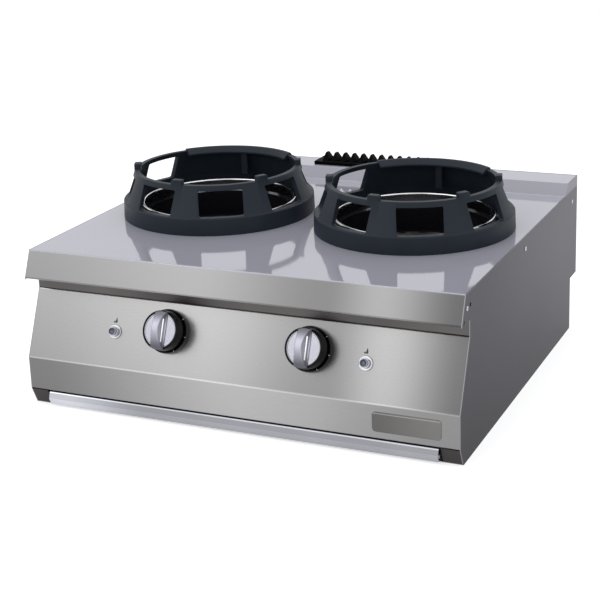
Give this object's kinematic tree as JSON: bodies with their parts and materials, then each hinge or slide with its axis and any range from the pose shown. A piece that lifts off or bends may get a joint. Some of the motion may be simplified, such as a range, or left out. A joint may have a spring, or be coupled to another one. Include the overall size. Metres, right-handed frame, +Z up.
{
  "type": "wok range",
  "caption": "Counter-top gas wok range: steel cabinet, windowed cast rings over enamelled wells, sloping control panel with push-and-turn knobs, drip tray and finned flue grille.",
  "frame": {"origin": "centre of the four base fixing holes, on the surface that the cabinet stands on, midway between the side panels and midway between the front strip and the upper back panel", "axes": "+X to the right along the front, +Y to the back, +Z up"},
  "size_m": [0.8024, 0.7507, 0.375],
  "materials": {
    "worktop_steel": "polished stainless, near mirror",
    "panel_steel": "fine brushed stainless",
    "side_steel": "satin stainless",
    "cabinet_steel": "plain zinc-coated sheet",
    "shadow_steel": "dark stove paint",
    "tray_steel": "bright rolled stainless",
    "collar_steel": "polished stainless",
    "well_enamel": "black vitreous enamel",
    "ring_iron": "slate stove finish, satin",
    "burner_iron": "as cast",
    "grille_iron": "black enamelled casting",
    "crown_iron": "black heat-resistant finish",
    "brass": "machined",
    "pipe_steel": "galvanised pipe",
    "feed_tube": "drawn tube",
    "pilot_steel": "heat tinted",
    "knob_black": "gloss black",
    "knob_silver": "satin silver",
    "bezel_black": "gloss black with light marks",
    "steel_shaft": "ground",
    "chrome": "bright",
    "button_dark": "dark blue-black",
    "igniter_plastic": "black",
    "plate_grey": "grey satin plate with a bright edge",
    "screw_steel": "bright"
  },
  "bodies": {
    "cabinet": {"worktop": "worktop_steel", "control_panel": "panel_steel", "front_crossmember": "shadow_steel", "back_panel": "cabinet_steel", "base_frame": "cabinet_steel", "sill_plates": "shadow_steel", "nameplate": "plate_grey", "side_screws": "screw_steel", "burner_support": "cabinet_steel", "gas_rail": "pipe_steel", "gas_inlet": "brass", "flue_duct": "cabinet_steel", "tray_runners": "cabinet_steel", "left_side_panel": "side_steel", "left_well": "well_enamel", "left_collar": "collar_steel", "left_burner_body": "burner_iron", "left_injector": "brass", "left_pilot_group": "pilot_steel", "left_feed_pipe": "feed_tube", "left_gas_valve": "brass", "left_knob_bezel": "bezel_black", "left_igniter_housing": "chrome", "left_igniter_body": "igniter_plastic", "right_side_panel": "side_steel", "right_well": "well_enamel", "right_collar": "collar_steel", "right_burner_body": "burner_iron", "right_injector": "brass", "right_pilot_group": "pilot_steel", "right_feed_pipe": "feed_tube", "right_gas_valve": "brass", "right_knob_bezel": "bezel_black", "right_igniter_housing": "chrome", "right_igniter_body": "igniter_plastic"},
    "flue_grille": {"flue_grille": "grille_iron"},
    "tray": {"drip_tray": "cabinet_steel", "tray_strip": "tray_steel"},
    "left_ring": {"left_wok_ring": "ring_iron"},
    "left_crown": {"left_burner_crown": "crown_iron"},
    "left_valve_rod": {"left_push_rod": "steel_shaft"},
    "left_knob": {"left_knob_skirt": "knob_black", "left_knob_cap": "knob_silver", "left_valve_spindle": "steel_shaft"},
    "left_button": {"left_igniter_button": "button_dark"},
    "right_ring": {"right_wok_ring": "ring_iron"},
    "right_crown": {"right_burner_crown": "crown_iron"},
    "right_valve_rod": {"right_push_rod": "steel_shaft"},
    "right_knob": {"right_knob_skirt": "knob_black", "right_knob_cap": "knob_silver", "right_valve_spindle": "steel_shaft"},
    "right_button": {"right_igniter_button": "button_dark"}
  },
  "joints": [
    {"name": "flue_grille_lift", "type": "slide", "parent": "cabinet", "child": "flue_grille", "axis": [0, 0, 1], "range_m": [0, 0.06]},
    {"name": "tray_slide", "type": "slide", "parent": "cabinet", "child": "tray", "axis": [0, -1, 0], "range_m": [0, 0.42]},
    {"name": "left_ring_lift", "type": "slide", "parent": "cabinet", "child": "left_ring", "axis": [0, 0, 1], "range_m": [0, 0.15]},
    {"name": "left_crown_lift", "type": "slide", "parent": "cabinet", "child": "left_crown", "axis": [0, 0, 1], "range_m": [0, 0.05]},
    {"name": "left_knob_push", "type": "slide", "parent": "cabinet", "child": "left_valve_rod", "axis": [0, 0.9158, -0.4017], "range_m": [0, 0.003], "stiffness_N_per_m": 900, "springref_m": -0.004},
    {"name": "left_knob_turn", "type": "hinge", "parent": "left_valve_rod", "child": "left_knob", "pos_m": [-0.1275, -0.35339, 0.16626], "axis": [0, -0.9158, 0.4017], "range_deg": [0, 180]},
    {"name": "left_button_push", "type": "slide", "parent": "cabinet", "child": "left_button", "axis": [0, 0.9158, -0.4017], "range_m": [0, 0.004], "stiffness_N_per_m": 500, "springref_m": -0.003},
    {"name": "right_ring_lift", "type": "slide", "parent": "cabinet", "child": "right_ring", "axis": [0, 0, 1], "range_m": [0, 0.15]},
    {"name": "right_crown_lift", "type": "slide", "parent": "cabinet", "child": "right_crown", "axis": [0, 0, 1], "range_m": [0, 0.05]},
    {"name": "right_knob_push", "type": "slide", "parent": "cabinet", "child": "right_valve_rod", "axis": [0, 0.9158, -0.4017], "range_m": [0, 0.003], "stiffness_N_per_m": 900, "springref_m": -0.004},
    {"name": "right_knob_turn", "type": "hinge", "parent": "right_valve_rod", "child": "right_knob", "pos_m": [0.1365, -0.35339, 0.16626], "axis": [0, -0.9158, 0.4017], "range_deg": [0, 180]},
    {"name": "right_button_push", "type": "slide", "parent": "cabinet", "child": "right_button", "axis": [0, 0.9158, -0.4017], "range_m": [0, 0.004], "stiffness_N_per_m": 500, "springref_m": -0.003}
  ]
}
